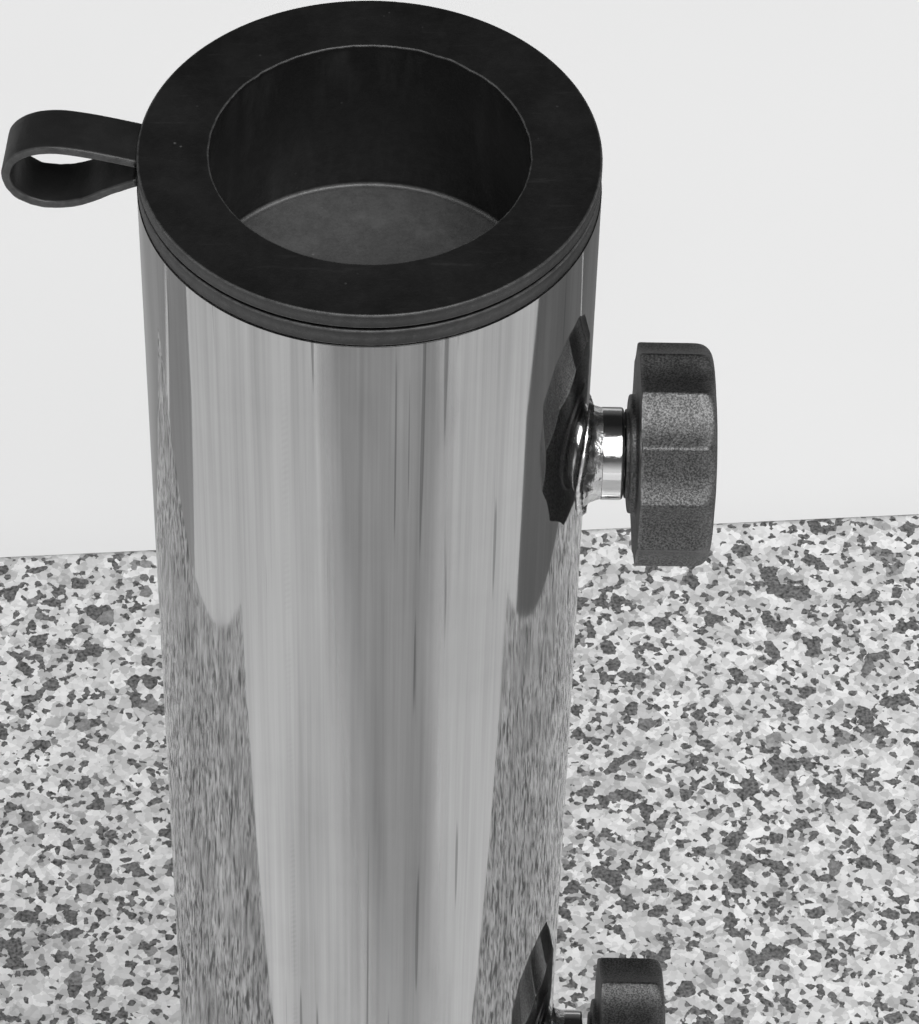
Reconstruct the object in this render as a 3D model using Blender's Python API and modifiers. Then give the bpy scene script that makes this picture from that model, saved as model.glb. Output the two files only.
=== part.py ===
"""Parasol base: a granite slab that carries a stainless socket tube with two clamp knobs.

Units are metres, +Z is up.  The origin is on the ground at the centre of the slab, +X runs along
the slab's long side and the tube stands near the long side that faces -Y.  Everything on the tube
is placed in the tube's own frame: its +X is the direction in which the clamp screws point.
"""
from math import cos, pi, radians, sin, sqrt

import bmesh
import bpy
from mathutils import Matrix, Vector

# ---------------------------------------------------------------- driving dimensions
GAP = 0.0003                    # clearance between pieces that touch
MERGE = 0.00001                 # merge distance of the turned shapes

SLAB_LENGTH = 0.450             # X
SLAB_WIDTH = 0.280              # Y
SLAB_THICKNESS = 0.075
SLAB_CHAMFER = 0.003
FOOT_HEIGHT = 0.005
FOOT_RADIUS = 0.017
FOOT_TAPER = 0.002              # a foot is this much narrower under the slab
FOOT_EDGE = 0.001
FOOT_INSET = 0.040              # from the slab's sides to each foot's axis
FOOT_COUNTERBORE_DEPTH = 0.0025
FOOT_SCREW_RADIUS = 0.002
FOOT_SCREW_LENGTH = 0.016
FOOT_SCREW_POINT = 0.002        # length of the pointed end
FOOT_SCREW_HEAD_RADIUS = 0.004
FOOT_SCREW_HEAD_BOTTOM = 0.0008  # above the ground
FOOT_SCREW_HEAD_EDGE = 0.0006

TUBE_X, TUBE_Y = 0.0, -0.065    # the tube's axis
TUBE_YAW = radians(-4.9)        # the clamp screws' direction, measured from +X
TUBE_OUTER = 0.0603 / 2         # radius of a standard 60.3 mm tube
TUBE_WALL = 0.0015
TOP_ABOVE_SLAB = 0.300          # plug's top face above the slab's top face
POLE_REST_THICKNESS = 0.006
POLE_REST_EDGE = 0.0005
DRAIN_RADIUS = 0.005

FLANGE_RADIUS = 0.060
FLANGE_THICKNESS = 0.004
FLANGE_EDGE = 0.0006
BOLT_CIRCLE = 0.0475            # radius of the bolt circle
BOLT_COUNT = 4
BOLT_RADIUS = 0.004             # M8
BOLT_HEAD_ACROSS_FLATS = 0.013
BOLT_HEAD_HEIGHT = 0.0053
BOLT_LENGTH = 0.030
BOLT_OVERLAP = 0.001            # how far the shank runs into the head
BOLT_TURN = radians(17)         # each head is turned this much further than the last
WASHER_RADIUS = 0.008
WASHER_THICKNESS = 0.0016
ANCHOR_RADIUS = 0.006
ANCHOR_LENGTH = 0.035
FLANGE_WELD_LEG = 0.0045
FLANGE_WELD_SHAPE = [(0.45, 0.72), (0.80, 0.38)]  # points of the bead's face, in legs

PLUG_FLANGE_RADIUS = 0.03003
PLUG_FLANGE_THICKNESS = 0.0022
PLUG_MOUTH_RADIUS = 0.0207
PLUG_FLOOR_RADIUS = 0.0243
PLUG_OUTER_RADIUS = 0.0266
PLUG_DEPTH = 0.0283             # from the top face to the cup's floor
PLUG_FLOOR_THICKNESS = 0.0025
PLUG_BOTTOM_EDGE = 0.001
COLLAR_DROP = 0.0027            # collar's top face below the plug's top face
COLLAR_THICKNESS = 0.0026
COLLAR_SLEEVE_LENGTH = 0.018
RUBBER_EDGE = 0.0004            # eased edge of the rubber rings

STRAP_WIDTH = 0.0075
STRAP_THICKNESS = 0.00125
STRAP_AZIMUTH = radians(177)    # from the clamp screws' direction
# centreline of the strap's loop: distance from the tube's axis, height from the plug's top face
STRAP_LOOP = [(0.0306, -0.0011), (0.0336, -0.0003), (0.0370, 0.0003), (0.0405, 0.0006),
              (0.0436, 0.0000), (0.0460, -0.0017), (0.0469, -0.0044), (0.0459, -0.0070),
              (0.0435, -0.0086), (0.0405, -0.0089), (0.0370, -0.0080), (0.0336, -0.0061),
              (0.0306, -0.0044)]

UPPER_CLAMP_DROP = 0.0558       # upper clamp screw's axis below the plug's top face
CLAMP_SPACING = 0.1429
LOWER_CLAMP_BACKED_OUT = 0.0009  # the lower screw is turned out a little further
BOSS_RADIUS = 0.00646
BOSS_END = 0.03494              # boss's outer face from the tube's axis
BOSS_EDGE = 0.0004
BOSS_SETBACK = 0.002            # boss blanks start this far inside the tube's outer face
BOSS_WELD_RADIUS = 0.0095
BOSS_WELD_RISE = 0.0016         # bead's height on the boss, above the tube
BOSS_WELD_SHOULDER = 0.0014     # bead's shoulder: its width, and its height above the tube
BOSS_WELD_SHOULDER_RISE = 0.0010
STUD_RADIUS = 0.004             # M8 thread, 1.25 mm pitch
STUD_TIP = 0.0180               # stud's inner end from the tube's axis, at rest
STUD_CHAMFER = 0.0008
STUD_HEAD_RADIUS = 0.0070
STUD_HEAD_THICKNESS = 0.0050
STUD_HEAD_COVER = 0.0030        # knob's wall behind the stud's head
PAD_RADIUS = 0.0033
PAD_THICKNESS = 0.0025
PAD_CHAMFER = 0.0006

KNOB_FACE = 0.0355              # hub's inner face from the tube's axis
KNOB_COLLAR_RADIUS = 0.0062
KNOB_HUB_START = 0.0360
KNOB_HUB_RADIUS = 0.0083
KNOB_HUB_EDGE = 0.0004
KNOB_BACK = 0.0371
KNOB_RIM = 0.0474               # front of the rim
KNOB_FRONT = 0.0481             # crown of the cap
KNOB_CAP_RADIUS = 0.0104
KNOB_CAP_SHOULDER = (0.0070, 0.0479)  # radius, distance from the tube's axis
KNOB_CAP_EDGE = 0.0003          # the cap's edge stands this far above the rim
KNOB_RADIUS = 0.0157
KNOB_ROUNDING = 0.0028
KNOB_FLUTES = 12
KNOB_FLUTE_DEPTH = 0.00124
KNOB_FLUTE_RADIUS = 0.0119
UPPER_FLUTE_PHASE = radians(130.8)  # a ridge of the upper knob, from the tube's +Y towards +Z
LOWER_FLUTE_PHASE = radians(110.8)

# ---------------------------------------------------------------- derived sizes
SLAB_BOTTOM = FOOT_HEIGHT
SLAB_TOP = SLAB_BOTTOM + SLAB_THICKNESS
PLUG_TOP = SLAB_TOP + TOP_ABOVE_SLAB
FLANGE_BOTTOM = SLAB_TOP + GAP
FLANGE_TOP = FLANGE_BOTTOM + FLANGE_THICKNESS
TUBE_BOTTOM = FLANGE_TOP + GAP
TUBE_INNER = TUBE_OUTER - TUBE_WALL
COLLAR_TOP = PLUG_TOP - COLLAR_DROP
COLLAR_BOTTOM = COLLAR_TOP - COLLAR_THICKNESS
TUBE_TOP = COLLAR_BOTTOM - GAP
HOLE_RADIUS = BOLT_RADIUS + GAP
STUD_HEAD_START = KNOB_BACK + STUD_HEAD_COVER
ROUND_STEPS = 48                # facets round the tube and the rings
SMALL_STEPS = 16                # facets round screws and bolts
MEDIUM_STEPS = 24               # facets round feet, washers and bosses
KNOB_STEPS = 6 * KNOB_FLUTES


# ---------------------------------------------------------------- scene, collections, materials
def clear_scene():
    for thing in list(bpy.data.objects):
        bpy.data.objects.remove(thing, do_unlink=True)


def new_collection(name):
    collection = bpy.data.collections.new(name)
    bpy.context.scene.collection.children.link(collection)
    return collection


def material(name, colour, roughness, metallic=0.0):
    mat = bpy.data.materials.new(name)
    mat.use_nodes = True
    shader = mat.node_tree.nodes["Principled BSDF"]
    shader.inputs["Base Color"].default_value = (*colour, 1.0)
    shader.inputs["Roughness"].default_value = roughness
    shader.inputs["Metallic"].default_value = metallic
    return mat


clear_scene()
PARTS = new_collection("parasol_base")
CUTTERS = new_collection("cutters")

GRANITE = material("granite", (0.52, 0.52, 0.52), 0.25)
STAINLESS = material("stainless", (0.62, 0.62, 0.62), 0.12, 1.0)
CHROME = material("chrome", (0.75, 0.75, 0.75), 0.08, 1.0)
ZINC = material("zinc", (0.55, 0.56, 0.58), 0.35, 1.0)
RUBBER = material("rubber", (0.018, 0.018, 0.018), 0.75)
KNOB_PLASTIC = material("knob_plastic", (0.035, 0.035, 0.035), 0.45)
NYLON = material("nylon", (0.10, 0.10, 0.10), 0.5)


# ---------------------------------------------------------------- shape helpers
def link(thing, collection, parent=None):
    collection.objects.link(thing)
    thing.parent = parent
    return thing


def object_from_bmesh(name, bm, collection, parent=None, mat=None):
    mesh = bpy.data.meshes.new(name)
    bm.to_mesh(mesh)
    bm.free()
    thing = bpy.data.objects.new(name, mesh)
    if mat:
        mesh.materials.append(mat)
    return link(thing, collection, parent)


def shade_round(thing, angle=35):
    thing.data.shade_smooth()
    thing.data.set_sharp_from_angle(angle=radians(angle))


def turned(name, profile, mat, parent, steps=ROUND_STEPS, closed=False, collection=PARTS):
    """A turned piece: profile points are (radius, height), outer side from top to bottom."""
    bm = bmesh.new()
    points = [bm.verts.new((radius, 0, height)) for radius, height in profile]
    for start, end in zip(points, points[1:]):
        bm.edges.new((start, end))
    if closed:
        bm.edges.new((points[-1], points[0]))
    thing = object_from_bmesh(name, bm, collection, parent, mat)
    screw = thing.modifiers.new("turn", "SCREW")
    screw.axis = "Z"
    screw.steps = screw.render_steps = steps
    screw.use_merge_vertices = True
    screw.merge_threshold = MERGE
    screw.use_smooth_shade = False
    return thing


def cut(thing, cutter):
    boolean = thing.modifiers.new("cut", "BOOLEAN")
    boolean.operation = "DIFFERENCE"
    boolean.solver = "EXACT"
    boolean.object = cutter
    cutter.hide_render = True
    cutter.display_type = "WIRE"


def cylinders(name, radius, depth, matrices, parent=None, steps=SMALL_STEPS):
    """One cutter made of equal cylinders, each centred on its matrix and running along its Z."""
    bm = bmesh.new()
    for matrix in matrices:
        bmesh.ops.create_cone(bm, cap_ends=True, segments=steps, radius1=radius, radius2=radius,
                              depth=depth, matrix=matrix)
    return object_from_bmesh(name, bm, CUTTERS, parent)


def ring_profile(inner, outer, bottom, top, edge=0.0):
    """Closed outline of a ring, with its outer edges eased by a chamfer."""
    if not edge:
        return [(inner, top), (outer, top), (outer, bottom), (inner, bottom)]
    return [(inner, top), (outer - edge, top), (outer, top - edge),
            (outer, bottom + edge), (outer - edge, bottom), (inner, bottom)]


def around(count, radius, start=0.0):
    """Points spaced evenly on a circle."""
    for index in range(count):
        angle = start + index * 2 * pi / count
        yield radius * cos(angle), radius * sin(angle)


# ---------------------------------------------------------------- slab, anchors and feet
def foot_places():
    reach_x = SLAB_LENGTH / 2 - FOOT_INSET
    reach_y = SLAB_WIDTH / 2 - FOOT_INSET
    return [(x, y) for y in (-reach_y, reach_y) for x in (-reach_x, reach_x)]


def bolt_places():
    """Bolt axes in world coordinates, turned half a step from the clamp screws' direction."""
    start = TUBE_YAW + pi / BOLT_COUNT
    return [(TUBE_X + x, TUBE_Y + y) for x, y in around(BOLT_COUNT, BOLT_CIRCLE, start)]


def make_slab():
    bm = bmesh.new()
    bmesh.ops.create_cube(bm, size=1.0)
    bmesh.ops.scale(bm, vec=(SLAB_LENGTH, SLAB_WIDTH, SLAB_THICKNESS), verts=bm.verts)
    slab = object_from_bmesh("granite_slab", bm, PARTS, None, GRANITE)
    slab.location.z = SLAB_BOTTOM + SLAB_THICKNESS / 2
    bevel = slab.modifiers.new("eased edges", "BEVEL")
    bevel.width = SLAB_CHAMFER
    bevel.segments = 2
    depth = ANCHOR_LENGTH + 2 * GAP
    holes = [Matrix.Translation((x, y, SLAB_TOP)) for x, y in bolt_places()]
    cut(slab, cylinders("anchor_holes", ANCHOR_RADIUS + GAP, 2 * depth, holes))
    holes = [Matrix.Translation((x, y, SLAB_BOTTOM)) for x, y in foot_places()]
    cut(slab, cylinders("foot_screw_holes", FOOT_SCREW_RADIUS + GAP, 2 * FOOT_SCREW_LENGTH, holes))


def make_anchors():
    profile = ring_profile(HOLE_RADIUS, ANCHOR_RADIUS, -ANCHOR_LENGTH, 0)
    for index, (x, y) in enumerate(bolt_places(), 1):
        sleeve = turned(f"anchor_sleeve_{index}", profile, ZINC, None, SMALL_STEPS, closed=True)
        sleeve.location = (x, y, SLAB_TOP)


def make_feet():
    top = FOOT_HEIGHT - GAP
    screw_hole = FOOT_SCREW_RADIUS + GAP
    head_hole = FOOT_SCREW_HEAD_RADIUS + GAP
    foot_profile = [(screw_hole, top), (FOOT_RADIUS - FOOT_TAPER, top), (FOOT_RADIUS, FOOT_EDGE),
                    (FOOT_RADIUS - FOOT_EDGE, 0), (head_hole, 0),
                    (head_hole, FOOT_COUNTERBORE_DEPTH), (screw_hole, FOOT_COUNTERBORE_DEPTH)]
    head_top = FOOT_COUNTERBORE_DEPTH - GAP
    head_bottom = FOOT_SCREW_HEAD_BOTTOM
    screw_profile = [(0, FOOT_SCREW_LENGTH),
                     (FOOT_SCREW_RADIUS, FOOT_SCREW_LENGTH - FOOT_SCREW_POINT),
                     (FOOT_SCREW_RADIUS, head_top), (FOOT_SCREW_HEAD_RADIUS, head_top),
                     (FOOT_SCREW_HEAD_RADIUS, head_bottom + FOOT_SCREW_HEAD_EDGE),
                     (FOOT_SCREW_HEAD_RADIUS - FOOT_SCREW_HEAD_EDGE, head_bottom),
                     (0, head_bottom)]
    for index, (x, y) in enumerate(foot_places(), 1):
        foot = turned(f"rubber_foot_{index}", foot_profile, RUBBER, None, MEDIUM_STEPS, closed=True)
        screw = turned(f"foot_screw_{index}", screw_profile, ZINC, None, SMALL_STEPS)
        foot.location = screw.location = (x, y, 0)


# ---------------------------------------------------------------- base flange and its bolts
def make_flange(tube_frame):
    profile = ring_profile(DRAIN_RADIUS, FLANGE_RADIUS, FLANGE_BOTTOM, FLANGE_TOP, FLANGE_EDGE)
    flange = turned("base_flange", profile, STAINLESS, tube_frame, closed=True)
    places = [Matrix.Translation((x, y, FLANGE_TOP))
              for x, y in around(BOLT_COUNT, BOLT_CIRCLE, pi / BOLT_COUNT)]
    cut(flange, cylinders("flange_holes", HOLE_RADIUS, 4 * FLANGE_THICKNESS, places, tube_frame))
    inner = TUBE_OUTER + GAP
    foot_of_bead = FLANGE_TOP + GAP
    face = [(inner + out * FLANGE_WELD_LEG, foot_of_bead + up * FLANGE_WELD_LEG)
            for out, up in FLANGE_WELD_SHAPE]
    weld_profile = [(inner, foot_of_bead + FLANGE_WELD_LEG), *face,
                    (inner + FLANGE_WELD_LEG, foot_of_bead), (inner, foot_of_bead)]
    turned("base_weld", weld_profile, STAINLESS, tube_frame, closed=True)


def make_bolts():
    washer = ring_profile(HOLE_RADIUS, WASHER_RADIUS, 0, WASHER_THICKNESS)
    head_radius = BOLT_HEAD_ACROSS_FLATS / 2 / cos(pi / 6)
    for index, (x, y) in enumerate(bolt_places(), 1):
        plate = turned(f"flange_washer_{index}", washer, STAINLESS, None, MEDIUM_STEPS, closed=True)
        plate.location = (x, y, FLANGE_TOP + GAP)
        head_bottom = FLANGE_TOP + WASHER_THICKNESS + 2 * GAP
        bm = bmesh.new()
        bmesh.ops.create_cone(bm, cap_ends=True, segments=6, radius1=head_radius,
                              radius2=head_radius, depth=BOLT_HEAD_HEIGHT,
                              matrix=Matrix.Translation((0, 0, BOLT_HEAD_HEIGHT / 2)))
        bolt = object_from_bmesh(f"flange_bolt_{index}", bm, PARTS, None, STAINLESS)
        bolt.location = (x, y, head_bottom)
        bolt.rotation_euler.z = TUBE_YAW + index * BOLT_TURN
        middle = head_bottom + BOLT_OVERLAP - BOLT_LENGTH / 2
        shank = cylinders(f"bolt_shank_{index}", BOLT_RADIUS, BOLT_LENGTH,
                          [Matrix.Translation((x, y, middle))])
        cut(bolt, shank)
        bolt.modifiers["cut"].operation = "UNION"


# ---------------------------------------------------------------- tube and the clamp bosses
def clamp_heights():
    upper = PLUG_TOP - UPPER_CLAMP_DROP
    return {"upper": upper, "lower": upper - CLAMP_SPACING}


def make_tube(tube_frame):
    profile = ring_profile(TUBE_INNER, TUBE_OUTER, TUBE_BOTTOM, TUBE_TOP)
    tube = turned("socket_tube", profile, STAINLESS, tube_frame, closed=True)
    through = [Matrix.Translation((TUBE_OUTER, 0, height)) @ Matrix.Rotation(pi / 2, 4, "Y")
               for height in clamp_heights().values()]
    cut(tube, cylinders("clamp_holes", HOLE_RADIUS, TUBE_OUTER, through, tube_frame))
    shade_round(tube)
    rest_top = TUBE_BOTTOM + POLE_REST_THICKNESS
    profile = ring_profile(DRAIN_RADIUS, TUBE_INNER - GAP, TUBE_BOTTOM, rest_top, POLE_REST_EDGE)
    turned("pole_rest", profile, NYLON, tube_frame, closed=True)


def make_screw_empty(name, height, backed_out, tube_frame):
    """An empty on a clamp screw's axis: its Z points out of the tube along the screw."""
    empty = bpy.data.objects.new(name, None)
    link(empty, PARTS, tube_frame)
    empty.matrix_local = (Matrix.Translation((backed_out, 0, height))
                          @ Matrix.Rotation(pi / 2, 4, "Y"))
    return empty


def make_boss(side, empty, tube_cutter):
    start = TUBE_OUTER - BOSS_SETBACK
    profile = ring_profile(HOLE_RADIUS, BOSS_RADIUS, start, BOSS_END)
    profile[1:2] = [(BOSS_RADIUS - BOSS_EDGE, BOSS_END), (BOSS_RADIUS, BOSS_END - BOSS_EDGE)]
    boss = turned(f"{side}_boss", profile, CHROME, empty, MEDIUM_STEPS, closed=True)
    cut(boss, tube_cutter)
    inner = BOSS_RADIUS + GAP
    weld_profile = [(inner, TUBE_OUTER + BOSS_WELD_RISE),
                    (inner + BOSS_WELD_SHOULDER, TUBE_OUTER + BOSS_WELD_SHOULDER_RISE),
                    (BOSS_WELD_RADIUS, TUBE_OUTER - BOSS_WELD_SHOULDER_RISE),
                    (BOSS_WELD_RADIUS, start), (inner, start)]
    weld = turned(f"{side}_boss_weld", weld_profile, CHROME, empty, MEDIUM_STEPS, closed=True)
    cut(weld, tube_cutter)


def make_stud(side, empty):
    head_end = STUD_HEAD_START + STUD_HEAD_THICKNESS
    profile = [(0, head_end), (STUD_HEAD_RADIUS, head_end), (STUD_HEAD_RADIUS, STUD_HEAD_START),
               (STUD_RADIUS, STUD_HEAD_START), (STUD_RADIUS, STUD_TIP + STUD_CHAMFER),
               (STUD_RADIUS - STUD_CHAMFER, STUD_TIP), (0, STUD_TIP)]
    turned(f"{side}_stud", profile, CHROME, empty, SMALL_STEPS)
    pad_top = STUD_TIP - GAP
    pad_bottom = pad_top - PAD_THICKNESS
    profile = [(0, pad_top), (PAD_RADIUS, pad_top), (PAD_RADIUS, pad_bottom + PAD_CHAMFER),
               (PAD_RADIUS - PAD_CHAMFER, pad_bottom), (0, pad_bottom)]
    turned(f"{side}_pressure_pad", profile, NYLON, empty, SMALL_STEPS)


def flute_reach(angle):
    """Distance from the knob's axis to its fluted side; angle 0 is on a ridge."""
    step = 2 * pi / KNOB_FLUTES
    off = angle % step - step / 2
    centre = KNOB_RADIUS - KNOB_FLUTE_DEPTH + KNOB_FLUTE_RADIUS
    return centre * cos(off) - sqrt(KNOB_FLUTE_RADIUS ** 2 - (centre * sin(off)) ** 2)


def knob_profile():
    """Cap, rounded rim, back, stepped hub, and the pocket in which the stud's head is moulded."""
    cap = [(0, KNOB_FRONT), KNOB_CAP_SHOULDER, (KNOB_CAP_RADIUS, KNOB_RIM + KNOB_CAP_EDGE),
           (KNOB_CAP_RADIUS, KNOB_RIM)]
    rounding = [(KNOB_RADIUS - KNOB_ROUNDING * (1 - sin(angle)),
                 KNOB_RIM - KNOB_ROUNDING * (1 - cos(angle)))
                for angle in (0, pi / 6, pi / 3, pi / 2)]
    hub = [(KNOB_HUB_RADIUS, KNOB_BACK), (KNOB_HUB_RADIUS, KNOB_HUB_START + KNOB_HUB_EDGE),
           (KNOB_HUB_RADIUS - KNOB_HUB_EDGE, KNOB_HUB_START), (KNOB_COLLAR_RADIUS, KNOB_HUB_START),
           (KNOB_COLLAR_RADIUS, KNOB_FACE), (HOLE_RADIUS, KNOB_FACE)]
    pocket_radius = STUD_HEAD_RADIUS + GAP
    pocket_start = STUD_HEAD_START - GAP
    pocket_end = STUD_HEAD_START + STUD_HEAD_THICKNESS + GAP
    pocket = [(HOLE_RADIUS, pocket_start), (pocket_radius, pocket_start),
              (pocket_radius, pocket_end), (0, pocket_end)]
    return cap + rounding + [(KNOB_RADIUS, KNOB_BACK)] + hub + pocket


def make_knob(side, empty, phase):
    bm = bmesh.new()
    rows = []
    for radius, height in knob_profile():
        if radius == 0:
            rows.append([bm.verts.new((0, 0, height))] * KNOB_STEPS)
            continue
        row = []
        for step in range(KNOB_STEPS):
            angle = step * 2 * pi / KNOB_STEPS
            reach = min(radius, flute_reach(angle))
            row.append(bm.verts.new((reach * cos(angle), reach * sin(angle), height)))
        rows.append(row)
    for row, following in zip(rows, rows[1:]):
        for step in range(KNOB_STEPS):
            after = (step + 1) % KNOB_STEPS
            corners = (row[step], row[after], following[after], following[step])
            bm.faces.new(list(dict.fromkeys(corners)))
    bmesh.ops.recalc_face_normals(bm, faces=bm.faces)
    knob = object_from_bmesh(f"{side}_knob", bm, PARTS, empty, KNOB_PLASTIC)
    knob.rotation_euler.z = phase


def make_clamps(tube_frame):
    tube_cutter = cylinders("tube_outside", TUBE_OUTER + GAP, 2 * PLUG_TOP, [Matrix()], tube_frame,
                            ROUND_STEPS)
    heights = clamp_heights()
    settings = {"upper": (0.0, UPPER_FLUTE_PHASE),
                "lower": (LOWER_CLAMP_BACKED_OUT, LOWER_FLUTE_PHASE)}
    for side, (backed_out, phase) in settings.items():
        fixed = make_screw_empty(f"{side}_boss_axis", heights[side], 0.0, tube_frame)
        moving = make_screw_empty(f"{side}_screw_axis", heights[side], backed_out, tube_frame)
        make_boss(side, fixed, tube_cutter)
        make_stud(side, moving)
        # the empty's X points down and its Y along the tube's +Y
        make_knob(side, moving, phase + pi / 2)


# ---------------------------------------------------------------- rubber plug, collar and strap
def make_plug(tube_frame):
    sleeve_outer = TUBE_INNER - GAP
    sleeve_inner = PLUG_OUTER_RADIUS + GAP
    edge = RUBBER_EDGE
    profile = [(sleeve_inner, COLLAR_TOP), (PLUG_FLANGE_RADIUS - edge, COLLAR_TOP),
               (PLUG_FLANGE_RADIUS, COLLAR_TOP - edge), (PLUG_FLANGE_RADIUS, COLLAR_BOTTOM + edge),
               (PLUG_FLANGE_RADIUS - edge, COLLAR_BOTTOM), (sleeve_outer, COLLAR_BOTTOM),
               (sleeve_outer, COLLAR_BOTTOM - COLLAR_SLEEVE_LENGTH),
               (sleeve_inner, COLLAR_BOTTOM - COLLAR_SLEEVE_LENGTH)]
    turned("rim_collar", profile, RUBBER, tube_frame, closed=True)

    floor = PLUG_TOP - PLUG_DEPTH
    flange_bottom = PLUG_TOP - PLUG_FLANGE_THICKNESS
    cup_bottom = floor - PLUG_FLOOR_THICKNESS
    profile = [(0, floor), (PLUG_FLOOR_RADIUS, floor), (PLUG_MOUTH_RADIUS, PLUG_TOP - edge),
               (PLUG_MOUTH_RADIUS + edge, PLUG_TOP), (PLUG_FLANGE_RADIUS - edge, PLUG_TOP),
               (PLUG_FLANGE_RADIUS, PLUG_TOP - edge), (PLUG_FLANGE_RADIUS, flange_bottom + edge),
               (PLUG_FLANGE_RADIUS - edge, flange_bottom), (PLUG_OUTER_RADIUS, flange_bottom),
               (PLUG_OUTER_RADIUS, cup_bottom + PLUG_BOTTOM_EDGE),
               (PLUG_OUTER_RADIUS - PLUG_BOTTOM_EDGE, cup_bottom),
               (0, cup_bottom)]
    turned("plug_cup", profile, RUBBER, tube_frame)


def make_strap(tube_frame):
    """The strap follows its loop in a vertical plane through the tube's axis."""
    bm = bmesh.new()
    half_width = Vector((0, STRAP_WIDTH / 2, 0))
    loop = [Vector((radius, 0, PLUG_TOP + height)) for radius, height in STRAP_LOOP]
    rows = []
    for index, point in enumerate(loop):
        before = loop[max(index - 1, 0)]
        after = loop[min(index + 1, len(loop) - 1)]
        along = (after - before).normalized()
        if index in (0, len(loop) - 1):
            along = Vector((1, 0, 0)) * (1 if index == 0 else -1)
        across = Vector((-along.z, 0, along.x)) * (STRAP_THICKNESS / 2)
        corners = (point + across + half_width, point + across - half_width,
                   point - across - half_width, point - across + half_width)
        rows.append([bm.verts.new(corner) for corner in corners])
    for row, following in zip(rows, rows[1:]):
        for side in range(4):
            other = (side + 1) % 4
            bm.faces.new((row[side], row[other], following[other], following[side]))
    bm.faces.new(rows[0])
    bm.faces.new(reversed(rows[-1]))
    bmesh.ops.recalc_face_normals(bm, faces=bm.faces)
    strap = object_from_bmesh("tether_strap", bm, PARTS, tube_frame, RUBBER)
    strap.rotation_euler.z = STRAP_AZIMUTH


# ---------------------------------------------------------------- assembly
def main():
    tube_frame = bpy.data.objects.new("tube_frame", None)
    link(tube_frame, PARTS)
    tube_frame.location = (TUBE_X, TUBE_Y, 0)
    tube_frame.rotation_euler.z = TUBE_YAW
    make_slab()
    make_anchors()
    make_feet()
    make_flange(tube_frame)
    make_bolts()
    make_tube(tube_frame)
    make_clamps(tube_frame)
    make_plug(tube_frame)
    make_strap(tube_frame)


main()
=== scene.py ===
"""Parasol base: looks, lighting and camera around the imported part.

Units are metres, +Z is up.  Pieces on the tube are built in the tube's frame (Z along the tube,
X the way the clamp screws point); pieces on a clamp screw are built in that screw's frame (Z out
of the tube along the screw, X down).
"""

from math import cos, exp, log, pi, radians, sin, sqrt, tan

import bmesh
import bpy
from mathutils import Matrix, Vector, noise


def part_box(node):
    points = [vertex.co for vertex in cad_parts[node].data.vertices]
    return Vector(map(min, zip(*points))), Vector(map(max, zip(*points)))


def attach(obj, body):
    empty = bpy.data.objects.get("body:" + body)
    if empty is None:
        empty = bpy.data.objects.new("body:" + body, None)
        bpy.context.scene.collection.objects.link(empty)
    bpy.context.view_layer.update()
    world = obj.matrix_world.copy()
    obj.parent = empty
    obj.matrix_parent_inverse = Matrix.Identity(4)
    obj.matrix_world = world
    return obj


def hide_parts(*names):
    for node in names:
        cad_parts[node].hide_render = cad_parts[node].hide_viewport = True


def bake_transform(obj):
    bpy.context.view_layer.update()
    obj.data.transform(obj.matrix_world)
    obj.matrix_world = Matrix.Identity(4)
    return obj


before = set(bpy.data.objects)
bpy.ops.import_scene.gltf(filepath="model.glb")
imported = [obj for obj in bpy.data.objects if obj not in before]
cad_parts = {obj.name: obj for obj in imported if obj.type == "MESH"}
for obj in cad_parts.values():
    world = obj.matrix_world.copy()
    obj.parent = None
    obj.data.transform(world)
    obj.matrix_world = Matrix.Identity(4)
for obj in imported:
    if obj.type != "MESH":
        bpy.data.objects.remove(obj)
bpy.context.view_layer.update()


# ---------------------------------------------------------------- places and sizes
def middle(node):
    low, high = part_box(node)
    return (low + high) / 2


TUBE_YAW = radians(-4.9)
SLAB_LOW, SLAB_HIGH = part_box("granite_slab")
SLAB_EDGE = 0.003               # rounding of the slab's edges
PLUG_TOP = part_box("plug_cup")[1].z
TUBE_LOW, TUBE_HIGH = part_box("socket_tube")
AXIS = middle("socket_tube")
TUBE_FRAME = Matrix.Translation((AXIS.x, AXIS.y, 0)) @ Matrix.Rotation(TUBE_YAW, 4, "Z")

TUBE_OUTER = 0.03015
TUBE_INNER = 0.02865
TUBE_EDGE = 0.00012
TUBE_RAISED = 0.00025           # the tube closes the CAD's gap under the collar
FLANGE_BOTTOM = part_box("base_flange")[0].z
FLANGE_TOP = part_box("base_flange")[1].z
FLANGE_RADIUS = 0.060
FLANGE_EDGE = 0.0006
DRAIN_RADIUS = 0.005
BOLT_RADIUS = 0.004
BOLT_FLATS = 0.013              # across the flats of a bolt's head
BOLT_LENGTH = 0.020             # the part of the shank that is modelled
BOLT_TURN = radians(17)         # each head is turned this much further than the last
WASHER_EDGE = 0.0004
BASE_WELD_LEG = 0.0045
BASE_WELD_RIPPLES = 76

PLUG_RADIUS = 0.03003
PLUG_FLANGE = 0.0022            # thickness of the plug's flange
MOUTH_RADIUS = 0.0207
CUP_FLOOR_RADIUS = 0.0243
CUP_OUTER = 0.0266
CUP_DEPTH = 0.0283
CUP_FLOOR = 0.0025
DARKER_PATCH = (0.0190, -0.0030)  # centre of a darker patch on the cup's lighter floor
COLLAR_LOW, COLLAR_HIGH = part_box("rim_collar")
COLLAR_SLEEVE = 0.018
COLLAR_TOP = COLLAR_HIGH.z
COLLAR_BOTTOM = COLLAR_LOW.z + COLLAR_SLEEVE

STRAP_AZIMUTH = radians(177)    # from the clamp screws' direction
STRAP_WIDTH = 0.0075
STRAP_THICKNESS = 0.00125
STRAP_EDGE = 0.0004
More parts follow.
